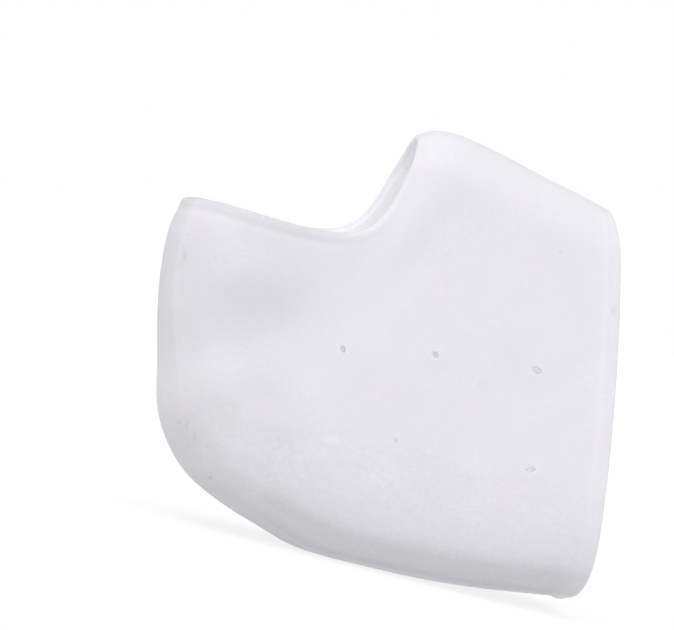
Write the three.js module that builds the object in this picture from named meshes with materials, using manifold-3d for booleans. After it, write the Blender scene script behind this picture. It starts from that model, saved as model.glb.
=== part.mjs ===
// Silicone heel sleeve: one moulded piece, worn over the heel like a short open sock.
// Millimetres. +X points to the toes and +Z up; the sleeve stands on its sole at z = 0.
// A leg comes in through the ankle opening on top, a foot goes out through the foot opening at +X.
import * as THREE from 'three';
import { mergeVertices } from 'three/addons/utils/BufferGeometryUtils.js';
import Module from 'manifold-3d';

// Finish of the silicone
const SILICONE_COLOUR = 0xe9e8ec;
const SILICONE_ROUGHNESS = 0.55;

// Wall thickness
const SIDE_WALL = 2.2;          // on the sides and over the instep
const PAD_REACH = 26;           // how far the thicker heel and sole wall reaches up the side

// Raised bead around the foot opening, strongest under the sole
const BEAD_SET = 1.6;           // from the edge of the opening to the crest of the bead
const BEAD_WIDTH = 1.3;
const BEAD_SIDE = 0.1;          // how proud the bead stands on the sides
const BEAD_SOLE = 0.8;          // and under the sole
const BEAD_SOLE_REACH = 0.12;   // share of the way round that the sole's bead takes

// Rounded corners of the edge, seen from the side: behind the ankle and above the foot
const ANKLE_CORNER = 1.2;
const FOOT_CORNER = 0.4;
const CORNER_REACH = 7;         // along the edge
const CORNER_FADE = 16;         // along the tube

// Shallow hollow on both sides, between the ankle and the heel
const HOLLOW_X = -36;
const HOLLOW_Z = 43.5;
const HOLLOW_LONG = 16;
const HOLLOW_TALL = 8;
const HOLLOW_TURN = THREE.MathUtils.degToRad(27);   // its long way rises towards the toes
const HOLLOW_DEPTH = 2.2;

// Facets
const RINGS = 32;               // from the ankle opening to the foot opening
const LOOP = 52;                // around each ring
const LIP_STEPS = 3;            // across each rounded edge
const RIM_CROWDING = 0.62;      // how much closer the rings lie at both openings
const FINE = 160;               // samples that an even ring is measured from
const VENT_SIDES = 10;
const SAME_POINT = 1e-4;        // closer points are one

// The sleeve is a bent tube. Each row is one ring around it, seen from the side: it starts on the
// outer line (back, heel and sole) at x, z, bends at its knee, and ends on the instep ridge.
// bend: how sharply the ring turns at its knee, 1 is a plain curve
// low, mid, high: half width by the outer line, halfway and by the ridge
// lowRound, highRound: how far the rounding of the two ends reaches along the ring
// square: 2 is a round outer end, more is a flatter one
// wall: thickness at the outer line
const SECTIONS = [
  { x: -51.8, z: 66.9, kneeX: -9.2, kneeZ: 63.9, ridgeX: -5.8, ridgeZ: 92.3, bend: 2.7,
    low: 15.4, mid: 16.6, high: 9.0, lowRound: 12, highRound: 9, square: 2.0, wall: 2.2 },
  { x: -52.9, z: 59.5, kneeX: -8.4, kneeZ: 59.2, ridgeX: -3.4, ridgeZ: 93.7, bend: 2.4,
    low: 15.4, mid: 16.7, high: 9.5, lowRound: 12, highRound: 9, square: 2.0, wall: 2.4 },
  { x: -52.4, z: 50.5, kneeX: -8.6, kneeZ: 54.4, ridgeX: -0.6, ridgeZ: 94.3, bend: 2.0,
    low: 15.6, mid: 17.0, high: 9.8, lowRound: 12, highRound: 9.5, square: 2.0, wall: 2.5 },
  { x: -50.7, z: 41.0, kneeX: -8.8, kneeZ: 50.5, ridgeX: 2.4, ridgeZ: 94.4, bend: 1.6,
    low: 16.6, mid: 17.3, high: 10.0, lowRound: 12, highRound: 9.5, square: 2.0, wall: 2.8 },
  { x: -48.4, z: 32.0, kneeX: -8.4, kneeZ: 47.4, ridgeX: 5.6, ridgeZ: 94.0, bend: 1.25,
    low: 18.2, mid: 17.6, high: 10.0, lowRound: 14, highRound: 10, square: 2.0, wall: 3.3 },
  { x: -45.0, z: 20.0, kneeX: -6.0, kneeZ: 44.8, ridgeX: 9.4, ridgeZ: 93.3, bend: 1.0,
    low: 22.0, mid: 18.3, high: 10.0, lowRound: 18, highRound: 10, square: 2.1, wall: 4.0 },
  { x: -37.4, z: 10.2, kneeX: -2.0, kneeZ: 43.4, ridgeX: 13.4, ridgeZ: 92.5, bend: 1.0,
    low: 26.2, mid: 19.4, high: 10.0, lowRound: 23, highRound: 10, square: 2.2, wall: 4.3 },
  { x: -28.4, z: 5.5, kneeX: 1.3, kneeZ: 43.2, ridgeX: 15.6, ridgeZ: 92.05, bend: 1.0,
    low: 26.7, mid: 19.5, high: 10.0, lowRound: 24, highRound: 10, square: 2.3, wall: 4.25 },
  { x: -20.5, z: 2.9, kneeX: 4.0, kneeZ: 43.0, ridgeX: 17.4, ridgeZ: 91.6, bend: 1.0,
    low: 27.0, mid: 19.6, high: 10.0, lowRound: 25, highRound: 10, square: 2.4, wall: 4.1 },
  { x: -8.0, z: -0.5, kneeX: 10.0, kneeZ: 43.0, ridgeX: 21.6, ridgeZ: 90.6, bend: 1.0,
    low: 26.5, mid: 19.6, high: 9.8, lowRound: 24, highRound: 10, square: 2.6, wall: 3.8 },
  { x: 10.0, z: -0.5, kneeX: 19.5, kneeZ: 43.3, ridgeX: 26.2, ridgeZ: 89.6, bend: 1.0,
    low: 26.0, mid: 19.4, high: 9.6, lowRound: 23, highRound: 10, square: 2.8, wall: 3.5 },
  { x: 29.0, z: 0.8, kneeX: 33.0, kneeZ: 43.8, ridgeX: 32.0, ridgeZ: 88.4, bend: 1.0,
    low: 25.5, mid: 19.0, high: 9.4, lowRound: 22, highRound: 10, square: 2.8, wall: 3.0 },
  { x: 50.0, z: 3.6, kneeX: 47.8, kneeZ: 44.2, ridgeX: 38.6, ridgeZ: 86.9, bend: 1.0,
    low: 25.0, mid: 18.6, high: 9.2, lowRound: 22, highRound: 10, square: 2.6, wall: 2.7 },
];

// Vent holes through each side wall: x and z of the middle, length and width of the hole, and how
// far its length is turned up towards the toes, in degrees
const VENTS = [
  { x: -13.1, z: 44.0, long: 1.7, wide: 1.15, turn: -60 },
  { x: 6.5, z: 47.6, long: 1.6, wide: 1.2, turn: -27 },
  { x: 28.5, z: 49.7, long: 2.5, wide: 1.4, turn: -6 },
  { x: 31.9, z: 29.2, long: 2.3, wide: 1.25, turn: 12 },
];
const VENT_INNER_Y = 6;         // the cutters run from here to past the outer skin
const VENT_OUTER_Y = 30;

const clamp01 = (value) => Math.min(Math.max(value, 0), 1);

// Distance along the outer line from the ankle opening to each section
const travels = [0];
for (let i = 1; i < SECTIONS.length; i += 1) {
  const step = Math.hypot(SECTIONS[i].x - SECTIONS[i - 1].x, SECTIONS[i].z - SECTIONS[i - 1].z);
  travels.push(travels[i - 1] + step);
}
const TOTAL_TRAVEL = travels[travels.length - 1];

// Slope of one column at a section, from its neighbours
function slope(column, i) {
  const before = Math.max(i - 1, 0);
  const after = Math.min(i + 1, SECTIONS.length - 1);
  return (SECTIONS[after][column] - SECTIONS[before][column]) / (travels[after] - travels[before]);
}

// Section at any travel, as a smooth curve through the rows
function sectionAt(travel) {
  let i = 0;
  while (i < SECTIONS.length - 2 && travel > travels[i + 1]) i += 1;
  const span = travels[i + 1] - travels[i];
  const t = (travel - travels[i]) / span;
  const row = {};
  for (const column of Object.keys(SECTIONS[0])) {
    const from = SECTIONS[i][column];
    const to = SECTIONS[i + 1][column];
    const rise = (2 * t ** 3 - 3 * t ** 2 + 1) * from + (3 * t ** 2 - 2 * t ** 3) * to;
    const lead = (t ** 3 - 2 * t ** 2 + t) * span * slope(column, i);
    const trail = (t ** 3 - t ** 2) * span * slope(column, i + 1);
    row[column] = rise + lead + trail;
  }
  return row;
}

// Rounded end of a ring: 0 at the end itself, 1 from the reach of the rounding on
function rounding(distance, reach, square) {
  const left = 1 - clamp01(distance / reach);
  return (1 - left ** square) ** (1 / square);
}

// How far a corner of the edge is rounded off: 1 at the corner, 0 from its reach on
function corner(distance) {
  return (1 - clamp01(distance / CORNER_REACH)) ** 2;
}

// How deep the hollow of the side is at a point
function hollowDepth(x, z) {
  const apart = new THREE.Vector2(x - HOLLOW_X, z - HOLLOW_Z);
  apart.rotateAround(new THREE.Vector2(), -HOLLOW_TURN);
  return HOLLOW_DEPTH * Math.exp(-((apart.x / HOLLOW_LONG) ** 2) - (apart.y / HOLLOW_TALL) ** 2);
}

// One side of the ring at a travel, from the outer line to the ridge, finely sampled
function fineHalfRing(section, travel) {
  const start = new THREE.Vector2(section.x, section.z);
  const knee = new THREE.Vector2(section.kneeX, section.kneeZ);
  const end = new THREE.Vector2(section.ridgeX, section.ridgeZ);
  const line = [];
  for (let i = 0; i <= FINE; i += 1) {
    const t = (1 - Math.cos((Math.PI * i) / FINE)) / 2;
    const weights = [(1 - t) ** 2, 2 * t * (1 - t) * section.bend, t ** 2];
    const sum = weights[0] + weights[1] + weights[2];
    const point = start.clone().multiplyScalar(weights[0] / sum);
    point.addScaledVector(knee, weights[1] / sum);
    point.addScaledVector(end, weights[2] / sum);
    line.push(point);
  }
  const along = [0];
  for (let i = 1; i <= FINE; i += 1) along.push(along[i - 1] + line[i].distanceTo(line[i - 1]));
  const length = along[FINE];
  const ankle = ANKLE_CORNER * (1 - THREE.MathUtils.smoothstep(travel, 0, CORNER_FADE));
  const foot = FOOT_CORNER * (1 - THREE.MathUtils.smoothstep(TOTAL_TRAVEL - travel, 0, CORNER_FADE));
  return line.map((point, i) => {
    const x = point.x - foot * corner(length - along[i]);
    const z = point.y - ankle * corner(along[i]);
    const u = along[i] / length;
    const plain = section.low * (1 - u) * (1 - 2 * u) + section.mid * 4 * u * (1 - u)
      + section.high * u * (2 * u - 1);
    const half = (plain - hollowDepth(x, z)) * rounding(along[i], section.lowRound, section.square)
      * rounding(length - along[i], section.highRound, 2);
    return { at: new THREE.Vector3(x, -half, z), fromOuter: along[i] };
  });
}

// Ring at a travel: LOOP evenly spaced points around the sleeve, with the wall at each
function ringAt(travel) {
  const section = sectionAt(travel);
  const fine = fineHalfRing(section, travel);
  const along = [0];
  for (let i = 1; i <= FINE; i += 1) along.push(along[i - 1] + fine[i].at.distanceTo(fine[i - 1].at));
  const steps = LOOP / 2;
  const half = [];
  let i = 0;
  for (let j = 0; j <= steps; j += 1) {
    const wanted = (along[FINE] * j) / steps;
    while (i < FINE - 1 && along[i + 1] < wanted) i += 1;
    const t = clamp01((wanted - along[i]) / (along[i + 1] - along[i]));
    const at = fine[i].at.clone().lerp(fine[i + 1].at, t);
    const fade = THREE.MathUtils.smoothstep(fine[i].fromOuter, 0, PAD_REACH);
    const wall = THREE.MathUtils.lerp(section.wall, SIDE_WALL, fade);
    half.push({ at, wall, share: j / steps });
  }
  const far = half.slice(1, steps).reverse();
  const mirrored = far.map(({ at, wall, share }) => ({
    at: new THREE.Vector3(at.x, -at.y, at.z), wall, share,
  }));
  return [...half, ...mirrored];
}

// Travel of each ring, crowded towards both openings
function ringTravel(k) {
  const t = k / (RINGS - 1);
  const eased = t - (RIM_CROWDING * Math.sin(2 * Math.PI * t)) / (2 * Math.PI);
  return TOTAL_TRAVEL * eased;
}

// Triangles of a band of rings, each LOOP points long; a closed band joins its last ring to its first
function bandIndices(rings, closed) {
  const indices = [];
  const last = closed ? rings : rings - 1;
  for (let k = 0; k < last; k += 1) {
    for (let j = 0; j < LOOP; j += 1) {
      const next = (j + 1) % LOOP;
      const a = k * LOOP + j;
      const b = k * LOOP + next;
      const c = ((k + 1) % rings) * LOOP + next;
      const d = ((k + 1) % rings) * LOOP + j;
      indices.push(a, c, b, a, d, c);
    }
  }
  return indices;
}

function bandGeometry(rings, closed) {
  const geometry = new THREE.BufferGeometry();
  const positions = rings.flat().flatMap((point) => point.toArray());
  geometry.setAttribute('position', new THREE.Float32BufferAttribute(positions, 3));
  geometry.setIndex(bandIndices(rings.length, closed));
  return geometry;
}

// Outward directions of a band of rings
function bandNormals(rings) {
  const geometry = bandGeometry(rings, false);
  geometry.computeVertexNormals();
  const normals = geometry.getAttribute('normal');
  return rings.map((ring, k) => ring.map((_, j) => (
    new THREE.Vector3().fromBufferAttribute(normals, k * LOOP + j)
  )));
}

// How proud the bead of the foot opening stands at a ring point
function beadHeight(travel, share) {
  const fromCrest = (TOTAL_TRAVEL - travel - BEAD_SET) / BEAD_WIDTH;
  const sole = 1 - THREE.MathUtils.smoothstep(share, 0, BEAD_SOLE_REACH);
  const proud = THREE.MathUtils.lerp(BEAD_SIDE, BEAD_SOLE, sole);
  return proud * Math.exp(-(fromCrest ** 2));
}

// Rounded edge between the outer and the inner skin at an opening, facing away from the ring behind
function lipRings(outerRing, innerRing, behindRing) {
  const rings = [];
  for (let step = 1; step <= LIP_STEPS; step += 1) {
    const angle = (Math.PI * step) / (LIP_STEPS + 1);
    rings.push(outerRing.map((outer, j) => {
      const middle = outer.clone().lerp(innerRing[j], 0.5);
      const across = outer.clone().sub(middle);
      const ahead = outer.clone().sub(behindRing[j]);
      ahead.addScaledVector(across, -ahead.dot(across) / across.lengthSq());
      ahead.setLength(across.length());
      return middle.addScaledVector(across, Math.cos(angle)).addScaledVector(ahead, Math.sin(angle));
    }));
  }
  return rings;
}

// The sleeve's skin: outer rings, the foot opening's edge, inner rings, the ankle opening's edge
function sleeveGeometry() {
  const travelsOfRings = Array.from({ length: RINGS }, (_, k) => ringTravel(k));
  const rings = travelsOfRings.map(ringAt);
  const plain = rings.map((ring) => ring.map(({ at }) => at));
  const normals = bandNormals(plain);
  const inner = rings.map((ring, k) => ring.map(({ at, wall }, j) => (
    at.clone().addScaledVector(normals[k][j], -wall)
  )));
  const outer = rings.map((ring, k) => ring.map(({ at, share }, j) => {
    const point = at.clone().addScaledVector(normals[k][j], beadHeight(travelsOfRings[k], share));
    point.z = Math.max(point.z, 0);
    return point;
  }));
  const foot = RINGS - 1;
  const footLip = lipRings(outer[foot], inner[foot], outer[foot - 1]);
  const ankleLip = lipRings(outer[0], inner[0], outer[1]).reverse();
  return bandGeometry([...outer, ...footLip, ...inner.reverse(), ...ankleLip], true);
}

// Solid of a closed geometry, and back again
function solidOf(wasm, geometry) {
  const plain = geometry.clone();
  plain.deleteAttribute('normal');
  plain.deleteAttribute('uv');
  const merged = mergeVertices(plain, SAME_POINT);
  return new wasm.Manifold(new wasm.Mesh({
    numProp: 3,
    vertProperties: new Float32Array(merged.getAttribute('position').array),
    triVerts: new Uint32Array(merged.getIndex().array),
  }));
}

function geometryOf(solid) {
  const mesh = solid.getMesh();
  const geometry = new THREE.BufferGeometry();
  geometry.setAttribute('position', new THREE.Float32BufferAttribute(mesh.vertProperties, 3));
  geometry.setIndex(Array.from(mesh.triVerts));
  geometry.computeVertexNormals();
  return geometry;
}

// Cutter of one vent hole on one side
function ventCutter(vent, side) {
  const length = VENT_OUTER_Y - VENT_INNER_Y;
  const geometry = new THREE.CylinderGeometry(1, 1, length, VENT_SIDES);
  geometry.scale(vent.long / 2, 1, vent.wide / 2);
  geometry.rotateY(-THREE.MathUtils.degToRad(vent.turn));
  geometry.translate(vent.x, (side * (VENT_INNER_Y + VENT_OUTER_Y)) / 2, vent.z);
  return geometry;
}

const wasm = await Module();
wasm.setup();

let sleeve = solidOf(wasm, sleeveGeometry());
for (const vent of VENTS) {
  for (const side of [-1, 1]) {
    sleeve = sleeve.subtract(solidOf(wasm, ventCutter(vent, side)));
  }
}

const silicone = new THREE.MeshStandardMaterial({
  color: SILICONE_COLOUR,
  roughness: SILICONE_ROUGHNESS,
  metalness: 0,
});
const heelSleeve = new THREE.Mesh(geometryOf(sleeve), silicone);
heelSleeve.name = 'heel_sleeve';

// The middle of the sleeve's length stands over the origin
heelSleeve.geometry.computeBoundingBox();
heelSleeve.position.x = -heelSleeve.geometry.boundingBox.getCenter(new THREE.Vector3()).x;

const part = new THREE.Group();
part.add(heelSleeve);

export default part;
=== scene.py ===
# Silicone heel sleeve: one moulded, translucent white piece that stands on its sole.
# Metres, +X to the toes, +Z up. Sizes are given in millimetres times MM.
import math
from collections import namedtuple

import bmesh
import bpy
import numpy as np
from mathutils import Matrix, Vector
from mathutils.kdtree import KDTree


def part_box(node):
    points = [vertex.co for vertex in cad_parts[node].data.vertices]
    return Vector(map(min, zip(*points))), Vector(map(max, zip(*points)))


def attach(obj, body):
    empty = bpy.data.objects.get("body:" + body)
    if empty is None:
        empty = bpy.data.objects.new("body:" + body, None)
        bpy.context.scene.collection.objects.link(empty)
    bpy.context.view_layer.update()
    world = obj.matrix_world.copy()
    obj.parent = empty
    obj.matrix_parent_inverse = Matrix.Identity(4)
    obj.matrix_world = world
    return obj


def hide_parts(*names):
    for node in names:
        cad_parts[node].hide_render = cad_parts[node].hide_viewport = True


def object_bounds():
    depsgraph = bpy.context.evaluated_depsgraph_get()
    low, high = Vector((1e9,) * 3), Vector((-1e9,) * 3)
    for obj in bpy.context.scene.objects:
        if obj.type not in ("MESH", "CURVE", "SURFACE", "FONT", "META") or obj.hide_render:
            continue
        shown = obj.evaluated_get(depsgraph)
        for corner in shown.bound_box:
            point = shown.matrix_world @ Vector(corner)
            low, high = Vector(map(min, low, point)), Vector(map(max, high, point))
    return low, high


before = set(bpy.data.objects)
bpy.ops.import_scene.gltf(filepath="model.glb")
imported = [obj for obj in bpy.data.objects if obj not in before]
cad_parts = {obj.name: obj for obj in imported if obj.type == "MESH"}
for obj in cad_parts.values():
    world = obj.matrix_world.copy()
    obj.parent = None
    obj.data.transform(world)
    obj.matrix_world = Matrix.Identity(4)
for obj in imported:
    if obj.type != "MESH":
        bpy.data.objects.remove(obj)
CAD_LOW, CAD_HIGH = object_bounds()

MM = 0.001

# Wall of the sleeve
SIDE_WALL = 2.2 * MM            # on the sides and over the instep
PAD_REACH = 26 * MM             # how far the thicker heel and sole wall reaches up the side

# Raised bead around the foot opening, strongest under the sole
BEAD_SET = 1.6 * MM             # from the edge of the opening to the crest of the bead
BEAD_WIDTH = 1.3 * MM
BEAD_SIDE = 0.10 * MM           # how proud the bead stands on the sides
BEAD_SOLE = 0.8 * MM            # and under the sole
BEAD_SOLE_REACH = 0.12          # share of the way round that the sole's bead takes

# Rounded corners of the edge, seen from the side: behind the ankle and above the foot
ANKLE_CORNER = 1.2 * MM
FOOT_CORNER = 0.4 * MM
CORNER_REACH = 7 * MM           # along the edge
CORNER_FADE = 16 * MM           # along the tube

# Shallow hollow on both sides, between the ankle and the heel
HOLLOW_X, HOLLOW_Z = -36 * MM, 43.5 * MM
HOLLOW_LONG, HOLLOW_TALL = 16 * MM, 8 * MM
HOLLOW_TURN = math.radians(27)  # its long way rises towards the toes
HOLLOW_DEPTH = 2.2 * MM

# Fineness of the modelled skin
RINGS = 76                      # from the ankle opening to the foot opening
LOOP = 108                      # points around each ring
RIM_CROWDING = 0.74             # how much closer the rings lie at both openings
FINE = 160                      # samples that an even ring is measured from
LIP_STEPS = 5                   # across each rounded edge
SAME_POINT = 1e-6
SMOOTH_ANGLE = math.radians(42)

# Unevenness of the moulding
WAVE_SIZE = 14 * MM
WAVE_HEIGHT = 0.22 * MM
WAVE_FADE = (0.2 * MM, 3 * MM)  # heights between which the waves set in above the flat sole
MOUND_RADIUS = 2.0 * MM         # the skin is pushed out a little around each vent hole
MOUND_HEIGHT = 0.3 * MM
SMALLEST_WEIGHT = 0.01          # points that would move less than this share stay as they are

# The bent tube, one ring for each row, seen from the side: it starts on the outer line (back, heel
# and sole) at x, z, bends at its knee and ends on the instep ridge. bend is how sharply it turns at
# the knee. low, mid, high: half width by the outer line, halfway and by the ridge. low_round,
# high_round: how far the rounding of the two ends reaches. square: 2 is a round outer end, more a
# flatter one. wall: thickness at the outer line. Lengths are in millimetres.
Section = namedtuple(
    "Section",
    "x z knee_x knee_z ridge_x ridge_z bend low mid high low_round high_round square wall",
)
SECTIONS = [
    Section(-51.8, 66.9, -9.2, 63.9, -5.8, 92.3, 2.7, 15.4, 16.6, 9.0, 12, 9, 2.0, 2.2),
    Section(-52.9, 59.5, -8.4, 59.2, -3.4, 93.7, 2.4, 15.4, 16.7, 9.5, 12, 9, 2.0, 2.4),
    Section(-52.4, 50.5, -8.6, 54.4, -0.6, 94.3, 2.0, 15.6, 17.0, 9.8, 12, 9.5, 2.0, 2.5),
    Section(-50.7, 41.0, -8.8, 50.5, 2.4, 94.4, 1.6, 16.6, 17.3, 10.0, 12, 9.5, 2.0, 2.8),
    Section(-48.4, 32.0, -8.4, 47.4, 5.6, 94.0, 1.25, 18.2, 17.6, 10.0, 14, 10, 2.0, 3.3),
    Section(-45.0, 20.0, -6.0, 44.8, 9.4, 93.3, 1.0, 22.0, 18.3, 10.0, 18, 10, 2.1, 4.0),
    Section(-37.4, 10.2, -2.0, 43.4, 13.4, 92.5, 1.0, 26.2, 19.4, 10.0, 23, 10, 2.2, 4.3),
    Section(-28.4, 5.5, 1.3, 43.2, 15.6, 92.05, 1.0, 26.7, 19.5, 10.0, 24, 10, 2.3, 4.25),
    Section(-20.5, 2.9, 4.0, 43.0, 17.4, 91.6, 1.0, 27.0, 19.6, 10.0, 25, 10, 2.4, 4.1),
    Section(-8.0, -0.5, 10.0, 43.0, 21.6, 90.6, 1.0, 26.5, 19.6, 9.8, 24, 10, 2.6, 3.8),
    Section(10.0, -0.5, 19.5, 43.3, 26.2, 89.6, 1.0, 26.0, 19.4, 9.6, 23, 10, 2.8, 3.5),
    Section(29.0, 0.8, 33.0, 43.8, 32.0, 88.4, 1.0, 25.5, 19.0, 9.4, 22, 10, 2.8, 3.0),
    Section(50.0, 3.6, 47.8, 44.2, 38.6, 86.9, 1.0, 25.0, 18.6, 9.2, 22, 10, 2.6, 2.7),
]

# Vent holes through each side wall: middle, length and width of the hole in millimetres, and how
# far its length is turned up towards the toes, in degrees
Vent = namedtuple("Vent", "x z long wide turn")
VENTS = [
    Vent(-13.1, 44.0, 1.7, 1.15, -60),
    Vent(6.5, 47.6, 1.6, 1.2, -27),
    Vent(28.5, 49.7, 2.5, 1.4, -6),
    Vent(31.9, 29.2, 2.3, 1.25, 12),
]
VENT_FLARE = 0.17               # share of its size that a hole narrows by in each millimetre
VENT_IN, VENT_OUT = 3.4, 0.8    # how far a cutter reaches into and out of the skin
VENT_SIDES = 24
VENT_WALL = (0.75, 0.97)        # shares of a hole's own size between which its wall lies

# Distance along the outer line from the ankle opening to each section, in millimetres
TRAVELS = [0.0]
for before, after in zip(SECTIONS, SECTIONS[1:]):
    TRAVELS.append(TRAVELS[-1] + math.hypot(after.x - before.x, after.z - before.z))
TOTAL_TRAVEL = TRAVELS[-1]


def smoothstep(value, low, high):
    share = np.clip((value - low) / (high - low), 0, 1)
    return share * share * (3 - 2 * share)


def section_slopes():
    """Slope of every column at every section, from its neighbours."""
    rows = np.array(SECTIONS)
    travels = np.array(TRAVELS)
    last = len(rows) - 1
    slopes = []
    for i in range(len(rows)):
        before, after = max(i - 1, 0), min(i + 1, last)
        slopes.append((rows[after] - rows[before]) / (travels[after] - travels[before]))
    return rows, slopes


SECTION_ROWS, SECTION_SLOPES = section_slopes()


def section_at(travel):
    """Section at any travel in millimetres, on a smooth curve through the rows."""
    i = int(np.clip(np.searchsorted(TRAVELS, travel) - 1, 0, len(SECTIONS) - 2))
    span = TRAVELS[i + 1] - TRAVELS[i]
    t = (travel - TRAVELS[i]) / span
    row = (2 * t**3 - 3 * t**2 + 1) * SECTION_ROWS[i]
    row = row + (3 * t**2 - 2 * t**3) * SECTION_ROWS[i + 1]
    row = row + (t**3 - 2 * t**2 + t) * span * SECTION_SLOPES[i]
    row = row + (t**3 - t**2) * span * SECTION_SLOPES[i + 1]
    return Section(*row)


def rounding(distance, reach, square):
    """Rounded end of a ring: 0 at the end itself, 1 from the reach of the rounding on."""
    left = 1 - np.clip(distance / reach, 0, 1)
    return (1 - left**square) ** (1 / square)


def corner(distance):
    """How far a corner of the edge is rounded off: 1 at the corner, 0 from its reach on."""
    return (1 - np.clip(distance / (CORNER_REACH / MM), 0, 1)) ** 2


def hollow_depth(line):
    x, z = line[:, 0] - HOLLOW_X / MM, line[:, 1] - HOLLOW_Z / MM
    along = (x * math.cos(HOLLOW_TURN) + z * math.sin(HOLLOW_TURN)) / (HOLLOW_LONG / MM)
    across = (z * math.cos(HOLLOW_TURN) - x * math.sin(HOLLOW_TURN)) / (HOLLOW_TALL / MM)
    return HOLLOW_DEPTH / MM * np.exp(-(along**2) - across**2)


def lengths_along(points):
    steps = np.linalg.norm(np.diff(points, axis=0), axis=1)
    return np.concatenate([[0.0], np.cumsum(steps)])


def ring_at(travel):
    """LOOP even points around the sleeve at a travel, with the wall, the share of the way round and
    how far inside the wall's own outline each point lies when seen from the side."""
    section = section_at(travel)
    t = (1 - np.cos(np.linspace(0, math.pi, FINE + 1))) / 2
    weights = np.stack([(1 - t) ** 2, 2 * t * (1 - t) * section.bend, t**2], axis=1)
    weights = weights / weights.sum(axis=1, keepdims=True)
    corners = np.array([
        (section.x, section.z),
        (section.knee_x, section.knee_z),
        (section.ridge_x, section.ridge_z),
    ])
    line = weights @ corners
    along = lengths_along(line)
    ankle = 1 - smoothstep(travel * MM, 0, CORNER_FADE)
    foot = 1 - smoothstep((TOTAL_TRAVEL - travel) * MM, 0, CORNER_FADE)
    line[:, 1] -= ANKLE_CORNER / MM * ankle * corner(along)
    line[:, 0] -= FOOT_CORNER / MM * foot * corner(along[-1] - along)
    u = along / along[-1]
    half = section.low * (1 - u) * (1 - 2 * u)
    half = half + section.mid * 4 * u * (1 - u) + section.high * u * (2 * u - 1)
    half = (half - hollow_depth(line)) * rounding(along, section.low_round, section.square)
    half = half * rounding(along[-1] - along, section.high_round, 2)
    side = np.stack([line[:, 0], -half, line[:, 1]], axis=1)
    around = lengths_along(side)
    steps = LOOP // 2
    wanted = np.linspace(0, around[-1], steps + 1)
    near = np.stack([np.interp(wanted, around, side[:, c]) for c in range(3)], axis=1)
    from_outer = np.interp(wanted, around, along)
    fade = smoothstep(from_outer, 0, PAD_REACH / MM)
    wall = section.wall + (SIDE_WALL / MM - section.wall) * fade
    share = np.linspace(0, 1, steps + 1)
    far = near[-2:0:-1] * (1, -1, 1)
    depth = from_outer - section.wall
    both = [np.concatenate([one, one[-2:0:-1]]) for one in (wall * MM, share, depth * MM)]
    return np.concatenate([near, far]) * MM, *both


def ring_travel(k):
    """Travel of ring k in millimetres, crowded towards both openings."""
    t = k / (RINGS - 1)
    return TOTAL_TRAVEL * (t - RIM_CROWDING * math.sin(2 * math.pi * t) / (2 * math.pi))


def bead_height(travel, shares):
    """How proud the bead of the foot opening stands around one ring."""
    from_crest = ((TOTAL_TRAVEL - travel) * MM - BEAD_SET) / BEAD_WIDTH
    sole = 1 - smoothstep(shares, 0, BEAD_SOLE_REACH)
    return (BEAD_SIDE + (BEAD_SOLE - BEAD_SIDE) * sole) * math.exp(-(from_crest**2))


def deselect():
    if bpy.context.object and bpy.context.object.mode != "OBJECT":
        bpy.ops.object.mode_set(mode="OBJECT")
    bpy.ops.object.select_all(action="DESELECT")


def choose(piece):
    deselect()
    piece.select_set(True)
    bpy.context.view_layer.objects.active = piece


def finish_modifier(piece, kind, **settings):
    """Adds one modifier with its settings and applies it."""
    choose(piece)
    modifier = piece.modifiers.new(kind.lower(), kind)
    for name, value in settings.items():
        setattr(modifier, name, value)
    bpy.ops.object.modifier_apply(modifier=modifier.name)


def outward(rings):
    """Outward directions on a grid of rings, ring by ring."""
    along = np.gradient(rings, axis=0)
    around = np.roll(rings, -1, axis=1) - np.roll(rings, 1, axis=1)
    normals = np.cross(around, along)
    normals = normals / np.linalg.norm(normals, axis=2, keepdims=True)
    from_middle = rings - rings.mean(axis=1, keepdims=True)
    return normals * np.sign(np.mean(normals * from_middle))


def lip(outer, inner, behind):
    """Rounded edge from the outer to the inner ring of an opening, facing away from behind."""
    middle = (outer + inner) / 2
    across = outer - middle
    ahead = outer - behind
    share = np.sum(ahead * across, axis=1) / np.sum(across**2, axis=1)
    ahead = ahead - across * share[:, None]
    reach = np.linalg.norm(across, axis=1) / np.linalg.norm(ahead, axis=1)
    ahead = ahead * reach[:, None]
    angles = math.pi * np.arange(1, LIP_STEPS + 1) / (LIP_STEPS + 1)
    return [middle + across * math.cos(a) + ahead * math.sin(a) for a in angles]


def sleeve_rings():
    """Rings of the whole wall in order: outer skin, foot lip, inner skin, ankle lip, outer again.
    Each is (points, depth, inside): depth is how far inside the wall's own outline a point lies,
    and inside is 0 on the outer skin and 1 on the inner. Also gives the crests of both lips."""
    travels = [ring_travel(k) for k in range(RINGS)]
    plain, walls, shares, depths = (np.array(column) for column in zip(*map(ring_at, travels)))
    normals = outward(plain)
    inner = plain - normals * walls[..., None]
    bead = np.array([bead_height(t, share) for t, share in zip(travels, shares)])
    outer = plain + normals * bead[..., None]
    outer[..., 2] = np.maximum(outer[..., 2], 0)
    foot_lip = lip(outer[-1], inner[-1], outer[-2])
    ankle_lip = lip(outer[0], inner[0], outer[1])[::-1]
    points = [*outer, *foot_lip, *inner[::-1], *ankle_lip, outer[0]]
    depth = [*depths, *[depths[-1]] * LIP_STEPS, *depths[::-1], *[depths[0]] * LIP_STEPS, depths[0]]
    inwards = list(np.arange(1, LIP_STEPS + 1) / (LIP_STEPS + 1))
    inside = [0.0] * RINGS + inwards + [1.0] * RINGS + inwards[::-1] + [0.0]
    return list(zip(points, depth, inside)), foot_lip[LIP_STEPS // 2], ankle_lip[LIP_STEPS // 2]


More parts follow.
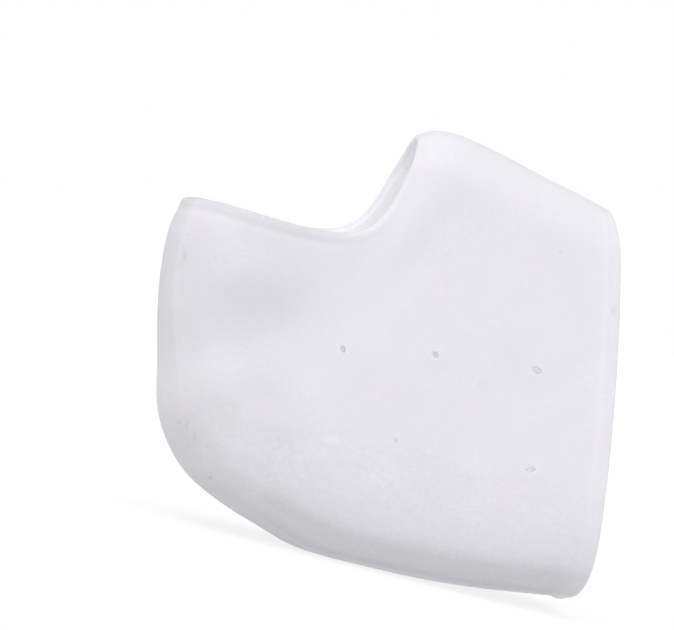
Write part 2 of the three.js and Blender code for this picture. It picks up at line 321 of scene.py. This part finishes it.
def lay_ring(piece, points, depth, inside):
    """Moves the selected loop of points onto a ring and notes where it lies in the wall."""
    mesh = bmesh.from_edit_mesh(piece.data)
    around = mesh.verts.layers.int["around"]
    depth_layer = mesh.verts.layers.float["depth"]
    inside_layer = mesh.verts.layers.float["inside"]
    for point in mesh.verts:
        if point.select:
            j = point[around]
            point.co = points[j]
            point[depth_layer] = depth[j]
            point[inside_layer] = inside
    bmesh.update_edit_mesh(piece.data)


def model_wall(rings):
    """The whole wall: a circle at the ankle opening, extruded ring by ring down the outer skin,
    round the foot opening, up the inner skin and round the ankle opening to where it began."""
    deselect()
    bpy.ops.mesh.primitive_circle_add(vertices=LOOP, radius=SIDE_WALL, fill_type="NOTHING")
    wall = bpy.context.object
    wall.name = "silicone_sleeve"
    wall.data.name = "silicone_sleeve"
    bpy.ops.object.mode_set(mode="EDIT")
    bpy.ops.mesh.select_all(action="SELECT")
    mesh = bmesh.from_edit_mesh(wall.data)
    around = mesh.verts.layers.int.new("around")
    mesh.verts.layers.float.new("depth")
    mesh.verts.layers.float.new("inside")
    for index, point in enumerate(mesh.verts):
        point[around] = index
    for k, (points, depth, inside) in enumerate(rings):
        if k > 0:
            bpy.ops.mesh.extrude_region_move()
        lay_ring(wall, points, depth, inside)
    bpy.ops.mesh.select_all(action="SELECT")
    bpy.ops.mesh.remove_doubles(threshold=SAME_POINT)
    bpy.ops.mesh.normals_make_consistent(inside=False)
    bpy.ops.object.mode_set(mode="OBJECT")
    finish_modifier(wall, "SUBSURF", levels=1, render_levels=1)
    return wall


def float_values(piece, name):
    values = np.zeros(len(piece.data.vertices), np.float32)
    piece.data.attributes[name].data.foreach_get("value", values)
    return values


def outer_weights(piece, name, weigh):
    """A vertex group over the outer skin, with a weight for each point."""
    group = piece.vertex_groups.new(name=name)
    for point, inside in zip(piece.data.vertices, float_values(piece, "inside")):
        weight = weigh(point.co) * (1 - inside)
        if weight > SMALLEST_WEIGHT:
            group.add([point.index], weight, "REPLACE")


def wave_weight(place):
    return float(smoothstep(place.z, *WAVE_FADE))


def mound_weight(place):
    weight = 0
    for vent in VENTS:
        distance = math.hypot(place.x - vent.x * MM, place.z - vent.z * MM)
        weight = max(weight, math.exp(-((distance / MOUND_RADIUS) ** 2)))
    return weight


def press_surface(sleeve):
    """Slow waves of the moulding and a soft mound around every vent hole."""
    outer_weights(sleeve, "waves", wave_weight)
    waves = bpy.data.textures.new("mould_waves", "CLOUDS")
    waves.noise_scale = WAVE_SIZE
    waves.noise_depth = 1
    finish_modifier(
        sleeve, "DISPLACE", texture=waves, texture_coords="LOCAL", strength=WAVE_HEIGHT,
        mid_level=0.5, vertex_group="waves",
    )
    outer_weights(sleeve, "mounds", mound_weight)
    finish_modifier(
        sleeve, "DISPLACE", strength=MOUND_HEIGHT, mid_level=0, vertex_group="mounds",
    )


def vent_cutter(sleeve, vent, side):
    """Cutter of one vent hole, which narrows inwards from the skin."""
    deselect()
    outside = Vector((vent.x * MM, side * CAD_HIGH.y * 2, vent.z * MM))
    skin = sleeve.ray_cast(outside, Vector((0, -side, 0)))[1]
    bpy.ops.mesh.primitive_cone_add(
        vertices=VENT_SIDES, depth=(VENT_IN + VENT_OUT) * MM,
        radius1=(1 - VENT_FLARE * VENT_IN) / 2 * MM, radius2=(1 + VENT_FLARE * VENT_OUT) / 2 * MM,
        location=skin + Vector((0, side * (VENT_OUT - VENT_IN) / 2 * MM, 0)),
        rotation=(-side * math.pi / 2, 0, 0),
    )
    cutter = bpy.context.object
    cutter.scale = (vent.long, vent.wide, 1)
    bpy.ops.object.transform_apply(location=False, rotation=True, scale=True)
    cutter.rotation_euler.y = -math.radians(vent.turn)
    bpy.ops.object.transform_apply(location=True, rotation=True, scale=True)
    return cutter


def cut_vents(sleeve):
    """Vent holes right through both side walls."""
    cutters = [vent_cutter(sleeve, vent, side) for vent in VENTS for side in (-1, 1)]
    choose(cutters[0])
    for cutter in cutters:
        cutter.select_set(True)
    bpy.ops.object.join()
    cutter = bpy.context.object
    finish_modifier(sleeve, "BOOLEAN", object=cutter, operation="DIFFERENCE", solver="EXACT")
    bpy.data.objects.remove(cutter)


def seat_in_frame(sleeve):
    """Moves the piece so that its box is centred along the solid's; gives the move."""
    low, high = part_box("heel_sleeve")
    places = np.array([point.co for point in sleeve.data.vertices])
    shift = ((low.x + high.x) - (places[:, 0].min() + places[:, 0].max())) / 2
    move = Vector((shift, 0, low.z - places[:, 2].min()))
    choose(sleeve)
    bpy.ops.object.mode_set(mode="EDIT")
    bpy.ops.mesh.select_all(action="SELECT")
    bpy.ops.transform.translate(value=move)
    bpy.ops.object.mode_set(mode="OBJECT")
    return move


def note_edges(sleeve, edges, move):
    """Notes on every point how far it lies from the foot edge and from the ankle edge."""
    for name, ring in edges.items():
        tree = KDTree(len(ring))
        for index, place in enumerate(ring):
            tree.insert(Vector(place) + move, index)
        tree.balance()
        distances = [tree.find(point.co)[2] for point in sleeve.data.vertices]
        sleeve.data.attributes.new(name, "FLOAT", "POINT").data.foreach_set("value", distances)


def note_vents(sleeve):
    """Notes on the walls of the vent holes how deep inside a hole they lie, from 0 to 1."""
    inside = np.zeros(len(sleeve.data.vertices))
    places = np.array([point.co for point in sleeve.data.vertices]) / MM
    for vent in VENTS:
        turn = math.radians(vent.turn)
        x, z = places[:, 0] - vent.x, places[:, 2] - vent.z
        along = (x * math.cos(turn) + z * math.sin(turn)) / (vent.long / 2)
        across = (z * math.cos(turn) - x * math.sin(turn)) / (vent.wide / 2)
        inside = np.maximum(inside, 1 - smoothstep(np.hypot(along, across), *VENT_WALL))
    sleeve.data.attributes.new("in_vent", "FLOAT", "POINT").data.foreach_set("value", inside)


def model_sleeve():
    rings, foot_edge, ankle_edge = sleeve_rings()
    sleeve = model_wall(rings)
    press_surface(sleeve)
    cut_vents(sleeve)
    note_vents(sleeve)
    move = seat_in_frame(sleeve)
    note_edges(sleeve, {"from_foot": foot_edge, "from_ankle": ankle_edge}, move)
    choose(sleeve)
    bpy.ops.object.shade_smooth_by_angle(angle=SMOOTH_ANGLE)
    sleeve.vertex_groups.clear()
    return sleeve


# Silicone. Scales are per metre, a shade is how much lighter or darker, and a span gives the two
# values between which an effect grows from nothing to full
SILICONE_WHITE = (0.773, 0.766, 0.80)
SILICONE_IOR = 1.41
SCATTER_DEPTH = 2.4 * MM
ROUGHNESS, ROUGHNESS_GRAIN = 0.52, 0.06
ROSE_TINT = (0.006, -0.004, 0.0)            # added in faint blotches
BLOTCH_SCALE, BLOTCH_SPAN = 110, (0.0, 0.5)
CLOUD_SCALE, CLOUD_SHADE = 75, 0.022
GRAIN_SCALE, GRAIN_SHADE = 1200, 0.024
RELIEF, RELIEF_STRENGTH = 0.06 * MM, 0.6    # height of the moulded grain
PAD_SPAN = (25 * MM, 28.5 * MM)             # upper line of the thicker sole, a little darker
PAD_UNEVEN = 5 * MM                         # how far that line wanders
PAD_SHADE = -0.022
PAD_GRAIN = 0.9                             # how much stronger the grain is on the sole's side
PATCH_GRAIN, PATCH_SPAN = 1.2, (0.0, 0.4)   # and in the lighter clouds
STREAK_SCALE, STREAK_SHADE = (160, 160, 1500), 0.028
GRAZE_PAINTED_SHADE = -0.08                         # painted shade where the skin turns away from the eye
GRAZE_SPAN = (0.45, 0.95)
GRAZE_HEIGHTS = (20 * MM, 50 * MM)          # on the upper sleeve alone
INNER_PAINTED_LIGHT = 0.25                          # painted light: how much lighter the inner skin is drawn, for light that the wall lets through
INNER_SPAN = (0.7, 1.0)                     # from 0 on the outer skin to 1 on the inner skin
LIP_GLOW = 0.07                             # light that gathers on the inner half of the edges
LIP_GLOW_SPAN = (0.5, 0.7)
INNER_GLOW = 0.035                          # light that the wall lets through to the inner skin
INNER_GLOW_SPAN = (0.8, 1.0)
VENT_GLOW = 0.27                            # and to the walls of a vent hole

# Painted shade and painted light along the edges of the wall: where the wall is seen along its
# thickness it is painted greyer, with a painted bright line at its inner face; the underside of the
# sole is painted darker, and its very edge lighter.
# Edge: attribute that a band is measured in, where the band starts and ends and how soft its ends
# are, in millimetres, its shade, and how much stronger it is where the axis is below low than where
# it is above high
OUTLINE = -9                    # below any distance, for a band from the edge itself
Edge = namedtuple("Edge", "distance start end blur shade axis low high low_factor")
PAINTED_EDGE_BANDS = [
    Edge("depth", OUTLINE, -0.5, 0.6, -0.042, "Z", 15, 45, 0.4),       # painted shade along the back, heel and sole
    Edge("depth", -0.15, 0.35, 0.25, 0.012, "Z", 15, 45, 0.4),         # and their painted bright line
    Edge("depth", OUTLINE, 4.2, 1.6, -0.003, "Z", 15, 28, 13),         # painted shade under the sole
    Edge("depth", 1.7, 5.3, 2.0, -0.0042, "Z", 8, 15, 13),
    Edge("depth", OUTLINE, -2.0, 0.6, 0.007, "Z", 3, 9, 13),           # but painted light at its very edge
    Edge("depth", OUTLINE, -1.5, 0.6, 0.10, "X", -14, 6, 0),           # with more painted light in front
    Edge("from_foot", OUTLINE, 3.1, 0.6, -0.012, "Z", 15, 45, 0.4),    # painted shade along the foot opening
    Edge("from_foot", 3.3, 4.3, 0.5, 0.022, "Z", 15, 45, 0.4),         # and its painted bright line
    Edge("from_foot", OUTLINE, 5.0, 3.0, 0.004, "Z", 6, 16, 13),       # painted light under the sole
    Edge("from_ankle", OUTLINE, 2.8, 0.6, -0.015, "X", -26, -8, 4.5),  # painted shade along the ankle opening
    Edge("from_ankle", 3.05, 4.15, 0.55, 0.004, "X", -26, -8, 4.5),    # and its painted bright line
    Edge("from_ankle", OUTLINE, 1.3, 0.6, -0.015, "X", -26, -8, 8),    # painted shade, darkest at its very edge
]

# Small marks on the side that shows, and the painted shade of the heel's hollow: middle, half width
# and half height in millimetres, how far the width is turned up towards the toes in degrees, and
# shade
Mark = namedtuple("Mark", "x z wide tall turn shade")
MARKS = [
    Mark(-36.0, 46.0, 25.0, 11.0, 27, -0.042),  # painted shade in the heel's hollow, then greyer and lighter places around the heel
    Mark(-37.0, 34.0, 19.0, 12.0, 0, -0.022),
    Mark(-27.0, 27.2, 17.0, 10.0, 0, -0.045),
    Mark(-23.0, 42.0, 14.0, 16.0, 0, -0.032),
    Mark(-47.0, 54.5, 9.0, 10.0, 0, -0.035),
    Mark(-40.0, 19.0, 5.0, 9.0, 20, -0.035),
    Mark(-24.5, 12.3, 9.0, 4.0, -25, 0.035),
    Mark(-10.4, 25.1, 2.7, 1.3, 0, 0.05),       # a closed vent and other pale spots
    Mark(10.5, 27.6, 1.3, 1.0, 0, 0.03),
    Mark(18.7, 57.4, 1.3, 0.5, 0, 0.035),
    Mark(-34.5, 33.7, 2.2, 0.9, 0, 0.02),
    Mark(3.1, 28.3, 0.7, 0.6, 0, -0.12),        # specks
    Mark(-31.8, 10.5, 0.6, 0.6, 0, -0.10),
    Mark(-34.5, 17.1, 0.5, 0.5, 0, -0.06),
    Mark(-41.1, 20.2, 0.4, 0.6, 0, -0.07),
    Mark(29.0, 75.4, 0.6, 0.6, 0, -0.06),
    Mark(-48.8, 59.0, 0.6, 0.5, 0, -0.06),
    Mark(42.9, 66.0, 0.5, 1.2, 0, -0.08),
    Mark(-39.6, 20.4, 0.4, 1.4, 12, -0.08),     # scratches and smudges
    Mark(-37.6, 18.2, 0.4, 1.6, 16, -0.08),
    Mark(-48.9, 56.2, 0.5, 0.9, 20, -0.06),
    Mark(-48.5, 54.6, 0.6, 1.2, 8, -0.07),
    Mark(-48.9, 52.9, 0.4, 0.9, -15, -0.05),
]
MARK_CORE = 0.35                # share of a mark's reach that has its full shade
MARK_WARP = 0.5 * MM            # unevenness of the outlines
WARP_SCALE = 700
FLECK_SCALE, FLECK_SPAN = 950, (0.05, 0.5)
FLECKED = [                     # patches of fine flecks and pits
    Mark(-34.0, 34.0, 17.0, 7.5, 10, 0.024),
    Mark(6.0, 73.0, 12.0, 11.0, 0, -0.04),
    Mark(19.3, 44.1, 2.6, 1.6, 0, -0.06),
    Mark(-41.0, 58.0, 8.0, 8.0, 0, -0.03),
    Mark(10.0, 22.0, 30.0, 7.0, 0, -0.03),
]


def add(tree, kind, inputs=None, **settings):
    """Adds a node; inputs maps a socket's name or number to a value or to another node's output."""
    made = tree.nodes.new("ShaderNode" + kind)
    for name, value in settings.items():
        setattr(made, name, value)
    for socket, value in (inputs or {}).items():
        if isinstance(value, bpy.types.NodeSocket):
            tree.links.new(value, made.inputs[socket])
        else:
            made.inputs[socket].default_value = value
    return made


def calc(tree, operation, *values):
    return add(tree, "Math", dict(enumerate(values)), operation=operation).outputs["Value"]


def ramp(tree, value, low, high, to_low=0.0, to_high=1.0):
    """Smooth step of a value from low to high."""
    inputs = {
        "Value": value, "From Min": low, "From Max": high, "To Min": to_low, "To Max": to_high,
    }
    return add(tree, "MapRange", inputs, interpolation_type="SMOOTHSTEP").outputs["Result"]


def vector_calc(tree, operation, inputs):
    """Like calc for vectors; inputs are as in add."""
    return add(tree, "VectorMath", inputs, operation=operation).outputs[0]


def noise(tree, place, scale, detail=2.0):
    """Noise between about -1 and 1; a scale of three numbers stretches it."""
    if isinstance(scale, tuple):
        place = vector_calc(tree, "MULTIPLY", {0: place, 1: scale})
        scale = 1.0
    made = add(tree, "TexNoise", {"Vector": place, "Scale": scale, "Detail": detail})
    return calc(tree, "MULTIPLY_ADD", made.outputs["Fac"], 2.0, -1.0)


def soft_mark_group():
    """Mask of one soft round mark: 1 in its middle, 0 past its reach."""
    group = bpy.data.node_groups.new("soft_mark", "ShaderNodeTree")
    for name in ("Place", "Middle", "Reach"):
        group.interface.new_socket(name, in_out="INPUT", socket_type="NodeSocketVector")
    group.interface.new_socket("Turn", in_out="INPUT", socket_type="NodeSocketFloat")
    group.interface.new_socket("Mask", in_out="OUTPUT", socket_type="NodeSocketFloat")
    given = group.nodes.new("NodeGroupInput").outputs
    apart = vector_calc(group, "SUBTRACT", {0: given["Place"], 1: given["Middle"]})
    inputs = {"Vector": apart, "Angle": given["Turn"]}
    turned = add(group, "VectorRotate", inputs, rotation_type="Y_AXIS").outputs[0]
    share = vector_calc(group, "DIVIDE", {0: turned, 1: given["Reach"]})
    far = add(group, "VectorMath", {0: share}, operation="LENGTH").outputs["Value"]
    result = group.nodes.new("NodeGroupOutput")
    group.links.new(ramp(group, far, MARK_CORE, 1.0, 1.0, 0.0), result.inputs["Mask"])
    return group


def painted_edge_band(tree, edge, axes):
    """Painted grey band (painted shade) or painted bright band (painted light) along one edge of
    the wall.
    """
    distance = add(tree, "Attribute", attribute_name=edge.distance).outputs["Fac"]
    in_mm = calc(tree, "DIVIDE", distance, MM)
    begun = ramp(tree, in_mm, edge.start - edge.blur, edge.start + edge.blur)
    going = ramp(tree, in_mm, edge.end - edge.blur, edge.end + edge.blur, edge.shade, 0.0)
    stronger = ramp(tree, axes[edge.axis], edge.low * MM, edge.high * MM, edge.low_factor, 1.0)
    return calc(tree, "MULTIPLY", calc(tree, "MULTIPLY", begun, going), stronger)


def uneven_place(tree, place):
    """The place, moved to and fro a little, so that what is drawn at it has an uneven outline."""
    warp = add(tree, "TexNoise", {"Vector": place, "Scale": WARP_SCALE, "Detail": 2.0})
    offset = vector_calc(tree, "SUBTRACT", {0: warp.outputs["Color"], 1: (0.5, 0.5, 0.5)})
    offset = vector_calc(tree, "SCALE", {0: offset, "Scale": 2 * MARK_WARP})
    return vector_calc(tree, "ADD", {0: place, 1: offset})


def mark_shade(tree, place, across):
    """All small marks, flecked patches and the painted shade of the hollow, on the outer skin of
    the side that shows.
    """
    uneven = uneven_place(tree, place)
    group = soft_mark_group()
    fleck = ramp(tree, noise(tree, place, FLECK_SCALE, 3.0), *FLECK_SPAN)
    total = 0.0
    for marks, pattern in ((MARKS, 1.0), (FLECKED, fleck)):
        for mark in marks:
            inputs = {
                "Place": uneven,
                "Middle": (mark.x * MM, 0, mark.z * MM),
                "Reach": (mark.wide * MM, 1.0, mark.tall * MM),
                "Turn": math.radians(mark.turn),
            }
            mask = add(tree, "Group", inputs, node_tree=group).outputs["Mask"]
            mask = calc(tree, "MULTIPLY", mask, pattern)
            total = calc(tree, "MULTIPLY_ADD", mask, mark.shade, total)
    near = calc(tree, "LESS_THAN", add(tree, "SeparateXYZ", {"Vector": place}).outputs["Y"], 0.0)
    outer = calc(tree, "LESS_THAN", across, 0.5)
    return calc(tree, "MULTIPLY", total, calc(tree, "MULTIPLY", near, outer))


def pad_mask(tree, height, cloud):
    """1 on the thicker sole and heel, with an uneven upper line."""
    uneven = calc(tree, "MULTIPLY_ADD", cloud, PAD_UNEVEN, height)
    return ramp(tree, uneven, *PAD_SPAN, 1.0, 0.0)


def skin_shade(tree, place, grain, across):
    """How light the silicone is, around 1; across is 0 on the outer skin and 1 on the inner."""
    axes = add(tree, "SeparateXYZ", {"Vector": place}).outputs
    cloud = noise(tree, place, CLOUD_SCALE, 3.0)
    pad = pad_mask(tree, axes["Z"], cloud)
    strength = calc(tree, "MULTIPLY_ADD", pad, PAD_GRAIN, 1.0)
    strength = calc(tree, "MULTIPLY_ADD", ramp(tree, cloud, *PATCH_SPAN), PATCH_GRAIN, strength)
    facing = add(tree, "LayerWeight", {"Blend": 0.5}).outputs["Facing"]
    upper = ramp(tree, axes["Z"], *GRAZE_HEIGHTS)
    effects = (
        (cloud, CLOUD_SHADE),
        (calc(tree, "MULTIPLY", grain, strength), GRAIN_SHADE),
        (calc(tree, "MULTIPLY", noise(tree, place, STREAK_SCALE), pad), STREAK_SHADE),
        (pad, PAD_SHADE),
        # painted light on the inner skin
        (ramp(tree, across, *INNER_SPAN), INNER_PAINTED_LIGHT),
        # painted shade where the skin turns away from the eye
        (calc(tree, "MULTIPLY", ramp(tree, facing, *GRAZE_SPAN), upper), GRAZE_PAINTED_SHADE),
    )
    shade = calc(tree, "ADD", 1.0, mark_shade(tree, place, across))
    for mask, amount in effects:
        shade = calc(tree, "MULTIPLY_ADD", mask, amount, shade)
    # painted shade and painted light along the edges of the wall
    for edge in PAINTED_EDGE_BANDS:
        shade = calc(tree, "ADD", shade, painted_edge_band(tree, edge, axes))
    return shade


def skin_glow(tree, across):
    """Light that comes through the wall: on the lips, the inner skin and in the vent holes."""
    in_vent = add(tree, "Attribute", attribute_name="in_vent").outputs["Fac"]
    lip_glow = ramp(tree, across, *LIP_GLOW_SPAN, 0.0, LIP_GLOW)
    most = ramp(tree, across, *INNER_GLOW_SPAN, 1.0, INNER_GLOW)
    vent_glow = calc(tree, "MULTIPLY", in_vent, VENT_GLOW)
    return calc(tree, "MAXIMUM", vent_glow, calc(tree, "MINIMUM", lip_glow, most))


def silicone_material():
    """Translucent white silicone: cloudy, finely grained, with faint streaks on the sole's side;
    painted shade and painted light along its edges, where it turns away from the eye, in the heel's
    hollow and on the inner skin, and a painted glow for light that comes through the wall.
    """
    material = bpy.data.materials.new("translucent_silicone")
    material.use_nodes = True
    tree = material.node_tree
    shader = tree.nodes["Principled BSDF"]
    shader.inputs["IOR"].default_value = SILICONE_IOR
    shader.inputs["Subsurface Weight"].default_value = 1.0
    shader.inputs["Subsurface Radius"].default_value = (1.0, 1.0, 1.0)
    shader.inputs["Subsurface Scale"].default_value = SCATTER_DEPTH
    shader.inputs["Emission Strength"].default_value = 1.0
    place = add(tree, "TexCoord").outputs["Object"]
    across = add(tree, "Attribute", attribute_name="inside").outputs["Fac"]
    grain = noise(tree, place, GRAIN_SCALE)
    rosy = ramp(tree, noise(tree, place, BLOTCH_SCALE), *BLOTCH_SPAN)
    tint = vector_calc(tree, "MULTIPLY_ADD", {0: rosy, 1: ROSE_TINT, 2: SILICONE_WHITE})
    shade = skin_shade(tree, place, grain, across)
    colour = vector_calc(tree, "SCALE", {0: tint, "Scale": shade})
    glow = vector_calc(tree, "SCALE", {0: SILICONE_WHITE, "Scale": skin_glow(tree, across)})
    roughness = calc(tree, "MULTIPLY_ADD", grain, ROUGHNESS_GRAIN, ROUGHNESS)
    bump = add(tree, "Bump", {"Height": grain, "Distance": RELIEF, "Strength": RELIEF_STRENGTH})
    tree.links.new(colour, shader.inputs["Base Color"])
    tree.links.new(glow, shader.inputs["Emission Color"])
    tree.links.new(roughness, shader.inputs["Roughness"])
    tree.links.new(bump.outputs["Normal"], shader.inputs["Normal"])
    return material


# Studio
FLOOR_SIZE = 30.0
WHITE = (1.0, 1.0, 1.0, 1)
SHEET_WHITE = (0.95, 0.95, 0.95, 1)
SHEET_GLOW = 0.68               # share of the sheet's light that comes through from below
SHEET_FILL = 0.62               # strength of that light on the sleeve
SHEET_SHOWN = 1.06              # and in the picture
ROOM_LIGHT = 0.88
ABOVE = (-0.15, -0.4, 0.9)      # where the softbox stands, from the sleeve
ABOVE_WIDTH = 60                # how wide it looks, in degrees
ABOVE_STRENGTH = 0.44
FRONT = (-0.6, -1.0, 0.05)
FRONT_WIDTH = 50
FRONT_STRENGTH = 0.92
PHOTO_WIDTH, PHOTO_HEIGHT = 674, 630
VIEW_YAW = math.radians(9)      # from the heel's side
VIEW_ELEVATION = math.radians(1)
VIEW_ROLL = math.radians(14.5)  # the picture is turned clockwise
VIEW_DISTANCE = 900 * MM
VIEW_AIM = Vector((0, 0, 47 * MM))
AIM_PIXEL = (388.3, 343.9)      # where the aim shows in the picture
PIXELS_PER_METRE = 4650         # at the aim
SENSOR_WIDTH = 36.0


def lay_floor():
    """White sheet lit from below, so that the sleeve's shadow on it stays faint."""
    deselect()
    bpy.ops.mesh.primitive_plane_add(size=FLOOR_SIZE)
    floor = bpy.context.object
    floor.name = "floor"
    sheet = bpy.data.materials.new("white_sheet")
    sheet.use_nodes = True
    tree = sheet.node_tree
    tree.nodes.remove(tree.nodes["Principled BSDF"])
    paper = add(tree, "BsdfDiffuse", {"Color": SHEET_WHITE})
    seen = add(tree, "LightPath").outputs["Is Camera Ray"]
    strength = add(tree, "MapRange", {"Value": seen, "To Min": SHEET_FILL, "To Max": SHEET_SHOWN})
    glow = add(tree, "Emission", {"Strength": strength.outputs["Result"]})
    either = add(tree, "MixShader", {"Fac": SHEET_GLOW})
    tree.links.new(paper.outputs[0], either.inputs[1])
    tree.links.new(glow.outputs[0], either.inputs[2])
    tree.links.new(either.outputs[0], tree.nodes["Material Output"].inputs["Surface"])
    floor.data.materials.append(sheet)


def sun(name, towards, width, strength):
    """Soft distant light from a direction; width is how wide it looks, in degrees."""
    bpy.ops.object.light_add(type="SUN")
    lamp = bpy.context.object
    lamp.name = name
    lamp.rotation_euler = Vector(towards).to_track_quat("Z", "Y").to_euler()
    lamp.data.angle = math.radians(width)
    lamp.data.energy = strength


def light_studio():
    world = bpy.data.worlds.new("studio")
    world.use_nodes = True
    tree = world.node_tree
    room = tree.nodes["Background"]
    room.inputs["Color"].default_value = WHITE
    room.inputs["Strength"].default_value = ROOM_LIGHT
    backdrop = add(tree, "Background", {"Color": WHITE})
    either = add(tree, "MixShader", {"Fac": add(tree, "LightPath").outputs["Is Camera Ray"]})
    tree.links.new(room.outputs["Background"], either.inputs[1])
    tree.links.new(backdrop.outputs["Background"], either.inputs[2])
    tree.links.new(either.outputs["Shader"], tree.nodes["World Output"].inputs["Surface"])
    bpy.context.scene.world = world
    bpy.context.scene.view_settings.view_transform = "Standard"
    sun("softbox_above", ABOVE, ABOVE_WIDTH, ABOVE_STRENGTH)
    sun("softbox_in_front", FRONT, FRONT_WIDTH, FRONT_STRENGTH)


def place_camera():
    sight = Vector((
        math.sin(VIEW_YAW) * math.cos(VIEW_ELEVATION),
        math.cos(VIEW_YAW) * math.cos(VIEW_ELEVATION),
        -math.sin(VIEW_ELEVATION),
    ))
    level = Vector((math.cos(VIEW_YAW), -math.sin(VIEW_YAW), 0))
    upright = level.cross(sight)
    right = level * math.cos(VIEW_ROLL) + upright * math.sin(VIEW_ROLL)
    up = upright * math.cos(VIEW_ROLL) - level * math.sin(VIEW_ROLL)
    location = VIEW_AIM - sight * VIEW_DISTANCE
    across = (PHOTO_WIDTH / 2 - AIM_PIXEL[0]) / PIXELS_PER_METRE
    above = (AIM_PIXEL[1] - PHOTO_HEIGHT / 2) / PIXELS_PER_METRE
    centre = VIEW_AIM + right * across + up * above
    forward = (centre - location).normalized()
    right = (right - forward * right.dot(forward)).normalized()
    turn = Matrix((right, right.cross(forward), -forward)).transposed()
    bpy.ops.object.camera_add(location=location)
    camera = bpy.context.object
    camera.rotation_euler = turn.to_euler()
    camera.data.sensor_width = SENSOR_WIDTH
    camera.data.lens = SENSOR_WIDTH * PIXELS_PER_METRE * VIEW_DISTANCE / PHOTO_WIDTH
    bpy.context.scene.camera = camera


sleeve = model_sleeve()
sleeve.data.materials.clear()
sleeve.data.materials.append(silicone_material())
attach(sleeve, "root")
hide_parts("heel_sleeve")
lay_floor()
light_studio()
place_camera()
